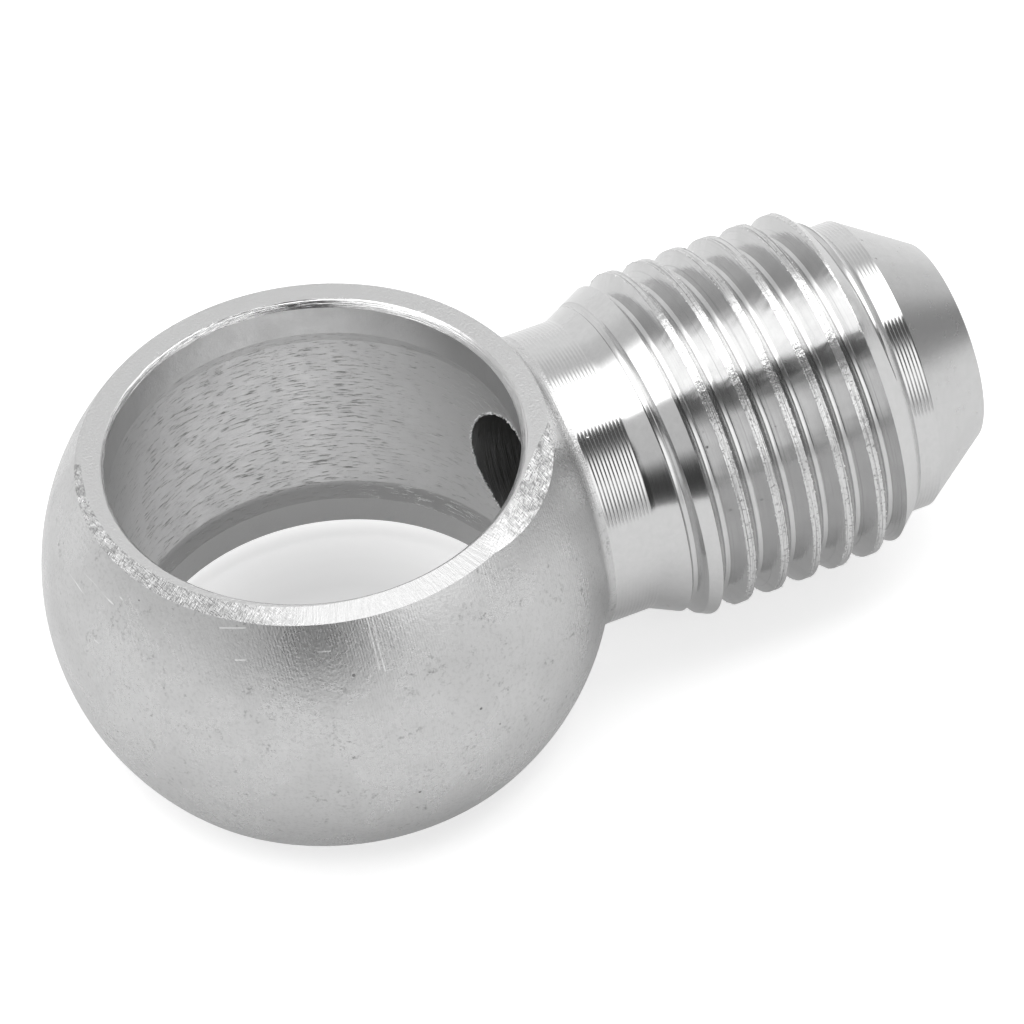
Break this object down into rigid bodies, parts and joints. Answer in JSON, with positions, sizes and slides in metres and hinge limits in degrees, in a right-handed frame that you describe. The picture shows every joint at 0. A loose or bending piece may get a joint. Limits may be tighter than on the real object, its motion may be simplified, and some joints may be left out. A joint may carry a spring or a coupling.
{
  "type": "banjo fitting",
  "caption": "Turned steel banjo fitting: ball-shaped eye with a grooved bolt bore, neck, external right-hand thread and cone nose with a drilled passage.",
  "frame": {"origin": "middle of the eye, where the bore's axis crosses the stem's axis", "axes": "+Z along the bore, out of the upper flat; +X along the stem, towards the nose"},
  "size_m": [0.0379, 0.0224, 0.0142],
  "materials": {
    "machined_steel": "bright turned steel with fine tool marks"
  },
  "bodies": {
    "root": {"banjo_body": "machined_steel"}
  },
  "joints": []
}
